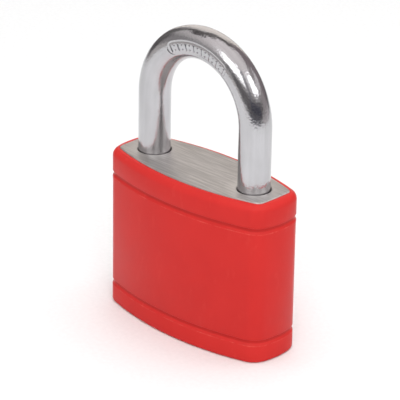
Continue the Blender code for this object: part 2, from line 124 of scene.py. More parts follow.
# Legs and bolts
BORE = ROD + 0.2
TOE_END = 30.6
TOE_FLOOR = 28.1
HEEL_END = shackle_low.z
NECK_LOW = 19.0
NECK_HIGH = 25.2
NECK = 2.6
BOLT_Z = 35.2
BOLT_BORE = 2.05
NOTCH_X = 14.3
NOTCH_HALF = 2.3
PIN_X = -20.85
PIN_Z = 32.75
PIN_BORE = 1.15
MILLED_X = PIN_X + 1.3
SLOT_TOP = 39.2

# The oval recess on the front of the bow, as angles along the bow from the toe leg
OVAL_START = math.radians(52)
OVAL_END = math.radians(122)
OVAL_TILT = math.radians(-8)
OVAL_HALF = 1.75
OVAL_DEPTH = 0.20
MARKS = 15

# The room that metal mirrors: its radius, and the height that its panels' angles are seen from
ROOM = 2800.0
ROOM_EYE = 65.0
PANEL_REACH = 2400.0
SKIRTING = 340.0            # radius of the graded edge round the lit table
SKIRTING_SHARE = 0.137      # share of the panels' reach that puts one just inside the skirting
SILL_SHARE = 0.99           # and the share that puts one just in front of another

# Camera, worked out from the photograph's viewing angle
CAMERA_AZIMUTH = math.radians(44.09)
CAMERA_ELEVATION = math.radians(24.22)
CAMERA_ROLL = math.radians(0.93)
CAMERA_DISTANCE = 650.0
CAMERA_TARGET = (-0.5, -0.48, 33.24)
LENS_MM = 239.5


# -------- mesh helpers

def linked(name, data):
    """A new object, in the scene."""
    made = bpy.data.objects.new(name, data)
    bpy.context.scene.collection.objects.link(made)
    return made


def shade_by_angle(piece, angle):
    """Smooth shading that keeps the edges sharper than an angle in degrees crisp."""
    piece.data.shade_smooth()
    piece.data.set_sharp_from_angle(angle=math.radians(angle))


def finish_mesh(name, solid, looks, body, angle=30.0):
    """Turn a bmesh in millimetres into a smooth-shaded piece that rides on a body."""
    bmesh.ops.recalc_face_normals(solid, faces=solid.faces)
    solid.transform(Matrix.Scale(MM, 4))
    mesh = bpy.data.meshes.new(name)
    solid.to_mesh(mesh)
    solid.free()
    for look in looks:
        mesh.materials.append(look)
    piece = linked(name, mesh)
    shade_by_angle(piece, angle)
    if body:
        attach(piece, body)
    return piece


def keep_modified(piece):
    """Make the result of a piece's modifiers its mesh."""
    graph = bpy.context.evaluated_depsgraph_get()
    mesh = bpy.data.meshes.new_from_object(piece.evaluated_get(graph))
    piece.modifiers.clear()
    piece.data = mesh


def combine(target, tools, operation="DIFFERENCE"):
    """Cut the tools out of the target, or join them to it, and keep the result as its mesh."""
    for tool in tools:
        step = target.modifiers.new(operation, "BOOLEAN")
        step.operation = operation
        step.solver = "EXACT"
        step.object = tool
    keep_modified(target)
    for tool in tools:
        bpy.data.objects.remove(tool)


def soften(piece, width, segments=2, angle=32.0):
    """Round the sharp edges by a bevel, and shade the flats flat."""
    bevel = piece.modifiers.new("soften", "BEVEL")
    bevel.width = width * MM
    bevel.segments = segments
    bevel.limit_method = "ANGLE"
    bevel.angle_limit = math.radians(angle)
    bevel.harden_normals = True
    bevel.use_clamp_overlap = True
    keep_modified(piece)


def place(point, along, axis):
    """A flat outline's point, moved along the axis that it is square to."""
    if axis == "X":
        return Vector((along, point[0], point[1]))
    if axis == "Y":
        return Vector((point[0], along, point[1]))
    return Vector((point[0], point[1], along))


def loft(rings, closed_loop=False):
    """Skin a row of rings, with a cap on each end or with the last joined to the first."""
    solid = bmesh.new()
    loops = [[solid.verts.new(point) for point in ring] for ring in rings]
    pairs = list(zip(loops, loops[1:]))
    if closed_loop:
        pairs.append((loops[-1], loops[0]))
    for low, high in pairs:
        for i in range(len(low)):
            j = (i + 1) % len(low)
            solid.faces.new((low[i], low[j], high[j], high[i]))
    if not closed_loop:
        solid.faces.new(list(reversed(loops[0])))
        solid.faces.new(loops[-1])
    return solid


def gather(joined, solid):
    """Move a small solid into a larger one."""
    mesh = bpy.data.meshes.new("part")
    solid.to_mesh(mesh)
    solid.free()
    joined.from_mesh(mesh)
    bpy.data.meshes.remove(mesh)


def prism(outline, low, high, axis="Z"):
    """An outline pulled from low to high along an axis."""
    return loft([[place(point, along, axis) for point in outline] for along in (low, high)])


def block(low, high):
    """A box between two corners."""
    outline = ((low[0], low[1]), (high[0], low[1]), (high[0], high[1]), (low[0], high[1]))
    return prism(outline, low[2], high[2])


def pocket(half, low, high):
    """A box round the lock's upright axis, from half its sizes."""
    return block((-half[0], -half[1], low), (half[0], half[1], high))


def arc_points(centre, radius, first, last, steps):
    """Points on an arc between two angles, both ends included."""
    turns = [first + (last - first) * i / steps for i in range(steps + 1)]
    return [(centre[0] + radius * math.cos(a), centre[1] + radius * math.sin(a)) for a in turns]


def circle(radius, centre, steps):
    return arc_points(centre, radius, 0, 2 * math.pi, steps)[:-1]


def turned(profile, centre, axis, steps=64):
    """A turned solid from (radius, distance along the axis) steps."""
    return loft([[place(p, along, axis) for p in circle(radius, centre, steps)]
                 for radius, along in profile])


def cutter(solid):
    """A passing object for combine."""
    return finish_mesh("cutter", solid, [], None)


def lens(inset, corner=CORNER, bulge=BODY_BULGE):
    """The outline moved inwards: two long arcs, four round corners and two slightly bulging ends.

    A quarter of it is three arcs, each tangent to the next.
    """
    bow = (DEPTH - END_DEPTH) / 2
    arc = (END_X ** 2 + bow ** 2) / (2 * bow)
    arc_y = arc - DEPTH / 2
    corner_x = END_X - corner
    corner_y = arc_y - math.sqrt((arc - corner) ** 2 - corner_x ** 2)
    reach = (corner_y ** 2 - bulge ** 2) / (2 * bulge)
    end = reach + bulge + corner
    first = math.atan2(corner_y - arc_y, corner_x)
    second = math.atan2(corner_y, reach)
    quarter = arc_points((0, arc_y), arc - inset, -math.pi / 2, first, 24)
    quarter += arc_points((corner_x, corner_y), corner - inset, first, second, 12)[1:]
    quarter += arc_points((corner_x - reach, 0), end - inset, second, 0, 6)[1:]
    right = quarter + [(x, -y) for x, y in reversed(quarter[:-1])]
    left = [(-x, y) for x, y in reversed(right[1:-1])]
    return right + left


def raised(outline, z):
    """The outline as a level ring at a height."""
    return [Vector((x, y, z)) for x, y in outline]


def round_edge(radius, centre_inset, centre_z, first, last, steps):
    """Rings of (inset, z) on a round edge; angle 0 points outwards and 90 degrees up."""
    made = []
    for i in range(steps + 1):
        turn = math.radians(first + (last - first) * i / steps)
        made.append((centre_inset - radius * math.cos(turn), centre_z + radius * math.sin(turn)))
    return made


# -------- material helpers

class Look:
    """A Principled material with the few node shortcuts that the looks below share."""

    def __init__(self, name, metallic=0.0, roughness=0.5, attribute=None):
        self.material = bpy.data.materials.new(name)
        self.material.use_nodes = True
        self.nodes = self.material.node_tree.nodes
        self.links = self.material.node_tree.links
        self.shader = self.nodes["Principled BSDF"]
        self.shader.inputs["Metallic"].default_value = metallic
        self.shader.inputs["Roughness"].default_value = roughness
        if attribute:
            stored = self.nodes.new("ShaderNodeAttribute")
            stored.attribute_name = attribute
            self.place = stored.outputs["Vector"]
        else:
            self.place = self.nodes.new("ShaderNodeTexCoord").outputs["Object"]

    def noise(self, scale, detail=3.0, roughness=0.5, stretch=(1.0, 1.0, 1.0), distortion=0.0):
        """Noise over the piece's own coordinates; scale is in features per metre."""
        mapping = self.nodes.new("ShaderNodeMapping")
        mapping.inputs["Scale"].default_value = stretch
        self.links.new(self.place, mapping.inputs["Vector"])
        texture = self.nodes.new("ShaderNodeTexNoise")
        texture.inputs["Scale"].default_value = scale
        texture.inputs["Detail"].default_value = detail
        texture.inputs["Roughness"].default_value = roughness
        texture.inputs["Distortion"].default_value = distortion
        self.links.new(mapping.outputs["Vector"], texture.inputs["Vector"])
        return texture.outputs["Fac"]

    def spread(self, value, low, high, start=0.3, end=0.7):
        """Spread a value that runs between start and end over low to high."""
        mapped = self.nodes.new("ShaderNodeMapRange")
        mapped.inputs["From Min"].default_value = start
        mapped.inputs["From Max"].default_value = end
        mapped.inputs["To Min"].default_value = low
        mapped.inputs["To Max"].default_value = high
        self.links.new(value, mapped.inputs["Value"])
        return mapped.outputs["Result"]

    def mix(self, value, first, second, start=0.3, end=0.7):
        """Blend two colours, or two colour outputs, by a value."""
        mixed = self.nodes.new("ShaderNodeMix")
        mixed.data_type = "RGBA"
        self.links.new(self.spread(value, 0.0, 1.0, start, end), mixed.inputs["Factor"])
        for socket, color in ((mixed.inputs["A"], first), (mixed.inputs["B"], second)):
            if isinstance(color, tuple):
                socket.default_value = (*color, 1.0)
            else:
                self.links.new(color, socket)
        return mixed.outputs["Result"]

    def compute(self, kind, operation, *values):
        """The outputs of a math node; each value is a number, a vector or another's output."""
        made = self.nodes.new(kind)
        made.operation = operation
        for socket, value in zip(made.inputs, values):
            if isinstance(value, (float, tuple)):
                socket.default_value = value
            else:
                self.links.new(value, socket)
        return made.outputs

    def figure(self, operation, *values):
        return self.compute("ShaderNodeMath", operation, *values)["Value"]

    def add(self, first, second, weight=1.0):
        """First plus weight times second."""
        return self.figure("MULTIPLY_ADD", second, weight, first)

    def band(self, value, low, high, soft):
        """One between two limits in millimetres, fading to nothing outside them."""
        rise = self.spread(value, 0.0, 1.0, (low - soft) * MM, low * MM)
        fall = self.spread(value, 1.0, 0.0, high * MM, (high + soft) * MM)
        return self.figure("MULTIPLY", rise, fall)

    def above_groove(self):
        """How far a point is above the middle of the nearer groove of the jacket, in metres."""
        low_groove, high_groove = GROOVE_HEIGHTS
        period = (high_groove - low_groove) * MM
        parts = self.nodes.new("ShaderNodeSeparateXYZ")
        self.links.new(self.place, parts.inputs["Vector"])
        shifted = self.figure("ADD", parts.outputs["Z"], period / 2 - low_groove * MM)
        return self.figure("SUBTRACT", self.figure("MODULO", shifted, period), period / 2)

    def leg_distance(self):
        """How far a point is from the nearer leg's axis, in metres."""
        kind = "ShaderNodeVectorMath"
        mirrored = self.compute(kind, "ABSOLUTE", self.place)["Vector"]
        flat = self.compute(kind, "MULTIPLY", mirrored, (1.0, 1.0, 0.0))["Vector"]
        return self.compute(kind, "DISTANCE", flat, (LEG_X * MM, 0.0, 0.0))["Value"]

    def color(self, output):
        self.links.new(output, self.shader.inputs["Base Color"])

    def roughness(self, output):
        self.links.new(output, self.shader.inputs["Roughness"])

    def stretch_gloss(self, flat_map, amount):
        """Spread the gloss along the first direction of a flat map, across the brush lines."""
        across = self.nodes.new("ShaderNodeTangent")
        across.direction_type = "UV_MAP"
        across.uv_map = flat_map
        self.links.new(across.outputs["Tangent"], self.shader.inputs["Tangent"])
        self.shader.inputs["Anisotropic"].default_value = amount

    def bump(self, height, depth_mm, strength=1.0):
        bump = self.nodes.new("ShaderNodeBump")
        bump.inputs["Strength"].default_value = strength
        bump.inputs["Distance"].default_value = depth_mm * MM
        self.links.new(height, bump.inputs["Height"])
        self.links.new(bump.outputs["Normal"], self.shader.inputs["Normal"])


def vinyl_look():
    """Moulded red vinyl: satin, faintly mottled, with a fine moulded skin and light scuffs, painted shade
    in the grooves and a patchy painted highlight along the bead below each groove.
    """
    look = Look("red_vinyl")
    cloud = look.noise(113, detail=2)
    tone = look.mix(cloud, (0.625, 0.032, 0.029), (0.665, 0.035, 0.031), start=0.2, end=0.8)
    scuff = look.noise(420, detail=5, roughness=0.65, stretch=(1, 1, 0.35))
    tone = look.mix(scuff, tone, (0.70, 0.055, 0.046), start=0.58, end=0.95)
    height = look.above_groove()
    # Painted shade: the vinyl is darkened in each groove, under its upper lip, where the lip would shade
    # the groove floor
    tone = look.mix(look.band(height, -0.10, 0.58, 0.20), tone, (0.40, 0.018, 0.016), start=0.0, end=2.6)
    # Painted highlight: a pale line along the bead just below each groove, broken into patches by the scuff
    # noise
    painted_highlight = look.figure("MULTIPLY", look.band(height, -1.0, -0.8, 0.15), scuff)
    look.color(look.mix(painted_highlight, tone, (0.80, 0.15, 0.12), start=0.42, end=1.0))
    look.roughness(look.spread(cloud, 0.27, 0.33, start=0.2, end=0.8))
    look.bump(look.add(look.noise(2600, detail=2), cloud, 1.6), 0.010, 0.55)
    look.shader.inputs["Specular IOR Level"].default_value = 0.06
    return look.material


def brushed_look():
    """Cast metal with its top brushed along the width, and painted brighter round the two legs as a painted
    reflection of the legs.
    """
    look = Look("brushed_top", metallic=0.85)
    fine = look.noise(1100, detail=4, roughness=0.65, stretch=(0.10, 1.5, 1.5))
    broad = look.noise(150, detail=3, stretch=(0.30, 1.0, 1.0), distortion=0.8)
    tone = look.mix(fine, (0.43, 0.412, 0.398), (0.84, 0.806, 0.786), start=0.25, end=0.75)
    tone = look.mix(broad, tone, (0.49, 0.468, 0.453), start=0.45, end=0.8)
    # Painted reflection: a brighter ring round each leg stands in for the legs' light reflected onto the
    # top
    painted_highlight = look.spread(look.leg_distance(), 1.0, 0.0, start=4.2 * MM, end=7.5 * MM)
    look.color(look.mix(painted_highlight, tone, (0.84, 0.81, 0.79), start=0.0, end=1.6))
    look.roughness(look.spread(look.add(fine, broad, 0.5), 0.37, 0.47, start=0.45, end=1.05))
    look.bump(fine, 0.034, 0.9)
    look.stretch_gloss("across", 1.0)
    return look.material


def cast_look():
    """Bare die casting for the bores and the cavity."""
    look = Look("die_casting", metallic=1.0)
    grain = look.noise(1400, detail=4)
    look.color(look.mix(grain, (0.36, 0.355, 0.35), (0.50, 0.49, 0.48)))
    look.roughness(look.spread(grain, 0.45, 0.62))
    look.bump(grain, 0.02, 0.6)
    return look.material


def polished_look():
    """Polished and plated bar: bright, with a finely pitted skin and faint draw lines along it."""
    look = Look("polished_bar", metallic=1.0, attribute="unbent")
    ripple = look.noise(260, detail=2, roughness=0.6, stretch=(1, 1, 0.4))
    grain = look.noise(2300, detail=0)
    lines = look.noise(650, detail=4, stretch=(1.5, 1.5, 0.03))
    look.color(look.mix(look.add(ripple, lines, 0.6), (0.475, 0.47, 0.485), (0.55, 0.545, 0.565),
                        start=0.6, end=1.0))
    look.roughness(look.spread(look.add(grain, ripple, 0.8), 0.14, 0.21, start=0.6, end=1.2))
    look.bump(look.add(look.add(grain, ripple, 0.5), lines, 0.3), 0.024)
    return look.material


def plated_look(name, dark, bright, scale, rough):
    """Plain metal: two close tones, uneven gloss and a fine skin."""
    look = Look(name, metallic=1.0)
    cloud = look.noise(scale, detail=5, roughness=0.6)
    grain = look.noise(scale * 9, detail=2)
    look.color(look.mix(look.add(cloud, grain, 0.25), dark, bright, start=0.4, end=0.85))
    look.roughness(look.spread(cloud, rough - 0.06, rough + 0.08))
    look.bump(look.add(cloud, grain, 0.6), 0.012, 0.5)
    return look.material


def dial_look():
    """Black moulded wheels with a faint grain and an uneven gloss."""
    look = Look("dial_black")
    cloud = look.noise(500, detail=4)
    look.color(look.mix(cloud, (0.016, 0.016, 0.018), (0.034, 0.034, 0.037)))
    look.roughness(look.spread(cloud, 0.34, 0.50))
    look.bump(look.noise(3200, detail=2), 0.010, 0.5)
    return look.material


def number_look():
    """Pad-printed ink: off-white, a little uneven."""
    look = Look("number_ink")
    cloud = look.noise(1800, detail=4)
    look.color(look.mix(cloud, (0.72, 0.72, 0.69), (0.84, 0.84, 0.82)))
    look.roughness(look.spread(cloud, 0.42, 0.58))
    return look.material


# -------- pieces

def build_jacket(vinyl):
    """A moulded sleeve: its section runs up the outside and back down the inside."""
    low_groove, high_groove = GROOVE_HEIGHTS
    section = round_edge(RIM_ROUND, RIM_ROUND, RIM_ROUND, -90, 0, 8)
    section += [(depth, low_groove + height) for height, depth in GROOVE[:-1]]
    panel_low = low_groove + GROOVE[-1][0] + 0.06
    panel_high = high_groove + GROOVE[0][0]
    section += [(PANEL_INSET, panel_low), (PANEL_INSET, panel_high - 1.3),
                (PANEL_INSET * 0.4, panel_high - 0.5)]
    section += [(depth, high_groove + height) for height, depth in GROOVE]
    section += [(0.0, high_groove + GROOVE[-1][0] + 0.08)]
    section += round_edge(SHOULDER, SHOULDER, LIP - SHOULDER, 0, 80, 14)
    rings = [raised(lens(inset, CORNER, JACKET_BULGE), z) for inset, z in section]
    inside = ((JACKET_WALL - 0.08, LIP), (JACKET_WALL, LIP - 0.08),
              (JACKET_WALL, 0.15), (JACKET_WALL - 0.15, 0.0))
    rings += [raised(lens(inset, BODY_CORNER), z) for inset, z in inside]
    jacket = finish_mesh("jacket_skin", loft(rings, closed_loop=True), [vinyl], "body", 40)
    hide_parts("jacket")


def build_body(brushed, casting):
    """The casting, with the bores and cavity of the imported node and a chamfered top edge."""
    edge = 0.24
    low_edge = 0.15
    section = [(BODY_INSET + low_edge, body_low.z), (BODY_INSET, body_low.z + low_edge),
               (BODY_INSET, TOP - edge), (BODY_INSET + edge, TOP)]
    rings = [raised(lens(inset, BODY_CORNER), z) for inset, z in section]
    body = finish_mesh("body_casting", loft(rings), [casting, brushed], None)
    above = TOP + 2
    mouth = 0.18
    leg_bore = ((BORE, 0), (BORE, TOP - mouth), (BORE + mouth, TOP), (BORE + mouth, above))
    toe_bore = ((BORE, TOE_FLOOR),) + leg_bore[1:]
    heel_bore = ((BORE, CAVITY_ROOF - 2),) + leg_bore[1:]
    bolt_reach = LEG_X - 2.2
    pin_reach = 9.0
    room = TONGUE_HALF + 0.3
    cuts = [
        prism(lens(CAVITY_INSET), -1, CAVITY_ROOF),
        turned(heel_bore, (-LEG_X, 0), "Z", 96),
        turned(toe_bore, (LEG_X, 0), "Z", 96),
        turned(((POST_BORE, CAVITY_ROOF - 2), (POST_BORE, TOE_FLOOR + 1)), (POST_X, 0), "Z", 32),
        pocket(FENCE_SLOT, CAVITY_ROOF - 1, SLOT_TOP),
        turned(((BOLT_BORE, -bolt_reach), (BOLT_BORE, bolt_reach)), (0, BOLT_Z), "X", 48),
        pocket(GUIDE_RECESS, CAVITY_ROOF - 0.5, CAVITY_ROOF + 1.5),
        turned(((PIN_BORE, -pin_reach), (PIN_BORE, pin_reach)), (PIN_X, PIN_Z), "Y", 32),
        block((2.7 - END_X, -room, plate_low.z - 0.2), (4.5 - END_X, room, plate_high.z + 0.2)),
    ]
    combine(body, [cutter(cut) for cut in cuts])
    shade_by_angle(body, 30)
    for face in body.data.polygons:
        face.material_index = int(face.center.z > (TOP - 0.6) * MM)
    keep_flat_map(body)
    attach(body, "body")
    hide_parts("lock_body")


def keep_flat_map(piece):
    """Store a flat map seen from above whose first direction is across the brush lines."""
    layer = piece.data.uv_layers.new(name="across")
    for loop in piece.data.loops:
        spot = piece.data.vertices[loop.vertex_index].co / (END_X * MM)
        layer.data[loop.index].uv = (spot.y, spot.x)


def oval_depth(along, around):
    """How far the bar's surface is sunk; the angles are along the bow and round the bar."""
    x = (along - (OVAL_START + OVAL_END) / 2) * LEG_X
    y = (around - OVAL_TILT) * ROD
    half_length = (OVAL_END - OVAL_START) / 2 * LEG_X
    straight = half_length - OVAL_HALF
    reach = math.hypot(max(abs(x) - straight, 0.0), y)
    edge = 0.32
    inside = min(max((OVAL_HALF - reach) / edge + 0.5, 0.0), 1.0)
    return OVAL_DEPTH * inside * inside * (3 - 2 * inside)


def steps_between(stops):
    """Values running through (value, steps to the next) stops, each span evenly divided."""
    values = []
    for (start, count), (end, _) in zip(stops, stops[1:]):
        values += [start + (end - start) * i / count for i in range(count)]
    return values


def bar_station(along):
    """The bar's centre and the outward direction, at an angle along the bow from the toe leg."""
    outward = Vector((math.cos(along), 0, math.sin(along)))
    centre = Vector((0, 0, BEND_Z)) + outward * LEG_X
    return centre, outward


def bar_ring(centre, outward, radii, turns):
    """A ring round the bar: turn 0 faces the front and grows outwards from the bow."""
    front = Vector((0, -1, 0))
    return [centre + (front * math.cos(turn) + outward * math.sin(turn)) * radius
            for turn, radius in zip(turns, radii)]


def build_shackle(polished):
    """The bar with its notches, neck and oval recess; the front of the bow is meshed finely."""
    fine = math.radians(48)
    turns = steps_between([(-fine, 60), (fine, 44), (2 * math.pi - fine, 0)])
    margin = math.radians(3)
    bow = steps_between([(0.0, 22), (OVAL_START - margin, 150), (OVAL_END + margin, 26), (math.pi, 0)])
    bow.append(math.pi)
    side = Vector((1, 0, 0))
    wrapped = [turn - 2 * math.pi if turn > math.pi else turn for turn in turns]
    rings = []
    toe = ((TOE_END, ROD - 0.7), (TOE_END + 0.2, ROD - 0.35), (TOE_END + 0.55, ROD - 0.08),
           (TOE_END + 1.0, ROD), (BEND_Z - 8, ROD))
    for z, radius in toe:
        rings.append(bar_ring(Vector((LEG_X, 0, z)), side, [radius] * len(turns), turns))
    for along in bow:
        centre, outward = bar_station(along)
        radii = [ROD - oval_depth(along, turn) for turn in wrapped]
        rings.append(bar_ring(centre, outward, radii, turns))
    heel = ((BEND_Z - 8, ROD), (NECK_HIGH, ROD), (NECK_HIGH - 0.4, NECK + 0.1), (NECK_HIGH - 0.8, NECK),
            (NECK_LOW + 0.4, NECK), (NECK_LOW + 0.3, NECK + 0.1), (NECK_LOW, ROD - 0.1),
            (NECK_LOW - 0.15, ROD), (HEEL_END + 0.6, ROD), (HEEL_END, ROD - 0.6))
    for z, radius in heel:
        rings.append(bar_ring(Vector((-LEG_X, 0, z)), -side, [radius] * len(turns), turns))
    bar = finish_mesh("shackle_bar", loft(rings), [polished], None)
    low, high = BOLT_Z - NOTCH_HALF, BOLT_Z + NOTCH_HALF
    cuts = [
        block((NOTCH_X - 4, -5, low), (NOTCH_X, 5, high)),
        block((-NOTCH_X, -5, low), (4 - NOTCH_X, 5, high)),
        block((MILLED_X - 4, -5, NECK_HIGH - 1), (MILLED_X, 5, PIN_Z + 1.3)),
    ]
    combine(bar, [cutter(cut) for cut in cuts])
    shade_by_angle(bar, 35)
    keep_unbent(bar)
    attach(bar, "shackle")
    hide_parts("shackle")


def unbent(point):
    """Where a point of the shackle was in the straight bar: out of the bow, back, along the bar."""
    x, y, z = point
    if z > BEND_Z:
        along = math.atan2(z - BEND_Z, x)
        return Vector((math.hypot(x, z - BEND_Z) - LEG_X, y, BEND_Z + along * LEG_X))
    if x > 0:
        return Vector((x - LEG_X, y, z))
    return Vector((-x - LEG_X, y, 2 * BEND_Z + math.pi * LEG_X - z))


def keep_unbent(piece):
    """Store the straight bar's coordinates, so that grain and draw lines follow the bend."""
    mesh = piece.data
    stored = mesh.attributes.new("unbent", "FLOAT_VECTOR", "POINT")
    for vert in mesh.vertices:
        stored.data[vert.index].vector = unbent(vert.co / MM) * MM


def pip(outline, height):
    """A low raised mark with softened upper edges, on the flat outline given."""
    middle = Vector([sum(values) / len(outline) for values in zip(*outline)] + [0])
    rings = []
    for z, size in ((-0.10, 1.0), (height * 0.6, 1.0), (height * 0.9, 0.90), (height, 0.72)):
        rings.append([middle + (Vector((x, y, 0)) - middle) * size + Vector((0, 0, z)) for x, y in outline])
    return loft(rings)


def build_marks(polished):
    """Plain raised marks in the oval recess: bars, with a pair of dots between each two."""
    joined = bmesh.new()
    reach = (OVAL_END - OVAL_START) / 2 - OVAL_HALF / LEG_X * 0.6
    middle = (OVAL_END + OVAL_START) / 2
    bar = rounded(-0.17, -0.95, 0.17, 0.95, 0.16)
    dots = [circle(0.21, (0, across), 12) for across in (-0.6, 0.6)]
    for n in range(MARKS):
        along = middle + reach * (2 * n / (MARKS - 1) - 1)
        centre, outward = bar_station(along)
        normal = Vector((0, -1, 0)) * math.cos(OVAL_TILT) + outward * math.sin(OVAL_TILT)
        across = (outward - normal * outward.dot(normal)).normalized()
        ahead = across.cross(normal)
        turn = Matrix((ahead, across, normal)).transposed().to_4x4()
        for outline in [bar] if n % 2 == 0 else dots:
            mark = pip(outline, OVAL_DEPTH * 0.85)
            mark.transform(Matrix.Translation(centre + normal * (ROD - OVAL_DEPTH)) @ turn)
            gather(joined, mark)
    marks = finish_mesh("shackle_marks", joined, [polished], "shackle", 50)
    keep_unbent(marks)


def coil_points(centre, radius, wire, low, high, turns, steps=28):
    """A compression spring's centre line, with a closed coil at each end."""
    closing = 2.5 * wire
    rise = high - low - 2 * wire
    inner_rise = rise - 2 * closing
    path = []
    for i in range(steps * turns + 1):
        turn = i / steps
        if turn < 1:
            z = closing * turn
        elif turn > turns - 1:
            z = rise - closing * (turns - turn)
        else:
            z = closing + inner_rise * (turn - 1) / (turns - 2)
        angle = 2 * math.pi * turn
        path.append(Vector((centre[0] + radius * math.cos(angle),
                            centre[1] + radius * math.sin(angle), low + wire + z)))
    return path


def build_spring(name, node, wire, turns, look):
    """A fine coil that stretches between the body and the piece that it pushes."""
    low, high = corners(node)
    centre = ((low.x + high.x) / 2, (low.y + high.y) / 2)
    radius = (high.y - low.y) / 2 - wire
    path = coil_points(centre, radius, wire, low.z, high.z, turns)
    rings = []
    for i, point in enumerate(path):
        ahead = (path[min(i + 1, len(path) - 1)] - path[max(i - 1, 0)]).normalized()
        side = ahead.cross(Vector((0, 0, 1))).normalized()
        other = side.cross(ahead)
        rings.append([point + (side * u + other * v) * wire for u, v in circle(1.0, (0, 0), 10)])
    spring = finish_mesh(name, loft(rings), [look], None, 60)
    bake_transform(spring)
    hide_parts(node)


def dial_section(steps=6):
    """Ten shallow faces with a rounded click notch between each two; a face looks down."""
    outline = []
    land = math.radians(13.5)
    for digit in range(DIGITS):
        middle = -math.pi / 2 + 2 * math.pi * digit / DIGITS
        for i in range(steps + 1):
            turn = middle + land * (2 * i / steps - 1)
            outline.append((LAND, turn))
        for share, depth in ((0.25, 0.30), (0.5, 0.46), (0.75, 0.30)):
            gap = 2 * math.pi / DIGITS - 2 * land
            outline.append((LAND - depth, middle + land + gap * share))
    return [(radius * math.cos(turn), radius * math.sin(turn)) for radius, turn in outline]


def shrink(outline, amount):
    """The outline moved towards its axis by a fixed amount."""
    moved = []
    for y, z in outline:
        radius = math.hypot(y, z)
        moved.append((y * (radius - amount) / radius, z * (radius - amount) / radius))
    return moved


def toothed(root, tip, root_half, tip_half):
    """A ten-toothed outline; the halves are half the teeth's widths in degrees."""
    outline = []
    for tooth in range(DIGITS):
        middle = 360 * tooth / DIGITS - 90
        for radius, degrees in ((root, -root_half), (tip, -tip_half), (tip, tip_half), (root, root_half)):
            turn = math.radians(middle + degrees)
            outline.append((radius * math.cos(turn), radius * math.sin(turn)))
    return outline


def build_dial(number, black, ink):
    """A number wheel: crowned faces, click notches, splined bore, and its ten numbers."""
    node = f"dial_{number}"
    low, high = corners(node)
    middle = (low.x + high.x) / 2
    half = (high.x - low.x) / 2
    outline = dial_section()
    edge = 0.22
    rings = []
    for dx, inset in ((-half, edge), (-half + edge * 0.3, edge * 0.3), (-half + edge, 0.0),
                      (half - edge, 0.0), (half - edge * 0.3, edge * 0.3), (half, edge)):
        ring = shrink(outline, inset)
        rings.append([Vector((middle + dx, y, AXIS_Z + z)) for y, z in ring])
    wheel = finish_mesh(f"wheel_{number}", loft(rings), [black], None)
    web = 1.1
    recess = 5.0
    past = 5
    splines = toothed(root=3.4, tip=4.4, root_half=13.5, tip_half=11.0)
    bore = [(y, AXIS_Z + z) for y, z in splines]
    cuts = [
        prism(bore, middle - past, middle + past, "X"),
        turned(((recess, middle - past), (recess, middle - web)), (0, AXIS_Z), "X", 64),
        turned(((recess, middle + web), (recess, middle + past)), (0, AXIS_Z), "X", 64),
    ]
    combine(wheel, [cutter(cut) for cut in cuts])
    shade_by_angle(wheel, 28)
    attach(wheel, node)
    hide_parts(node)
    build_numbers(number, node, middle, ink)


def number_mesh(text, height):
    """A numeral as a thin flat solid, cut into strips so that it can be wrapped round a wheel."""
    curve = bpy.data.curves.new("numeral", "FONT")
    curve.body = text
    curve.size = height / 0.7
    curve.extrude = 0.06
    curve.align_x = "CENTER"
    curve.resolution_u = 6
    holder = linked("numeral", curve)
    graph = bpy.context.evaluated_depsgraph_get()
    graph.update()
    mesh = bpy.data.meshes.new_from_object(holder.evaluated_get(graph))
    solid = bmesh.new()
    solid.from_mesh(mesh)
    bpy.data.objects.remove(holder)
    bpy.data.curves.remove(curve)
    bpy.data.meshes.remove(mesh)
    left, low = [min(vert.co[k] for vert in solid.verts) for k in (0, 1)]
    right, high = [max(vert.co[k] for vert in solid.verts) for k in (0, 1)]
    for vert in solid.verts:
        vert.co.x -= (left + right) / 2
        vert.co.y -= (low + high) / 2
    strips = 8
    for i in range(1, strips):
        level = (high - low) * (i / strips - 0.5)
        everything = solid.verts[:] + solid.edges[:] + solid.faces[:]
        bmesh.ops.bisect_plane(solid, geom=everything, plane_co=(0, level, 0), plane_no=(0, 1, 0))
    return solid


def build_numbers(number, node, middle, ink):
    """The numbers 0 to 9 round a wheel, read from below with the front of the lock upwards."""
    joined = bmesh.new()
    for digit in range(DIGITS):
        solid = number_mesh(str(digit), DIGIT_HEIGHT)
        turn = -math.pi / 2 + 2 * math.pi * digit / DIGITS
        for vert in solid.verts:
            angle = turn - vert.co.y / LAND
            radius = LAND + vert.co.z - 0.05
            vert.co = Vector((middle + vert.co.x, radius * math.cos(angle),
                              AXIS_Z + radius * math.sin(angle)))
        gather(joined, solid)
    numbers = finish_mesh(f"numbers_{number}", joined, [ink], node, 40)


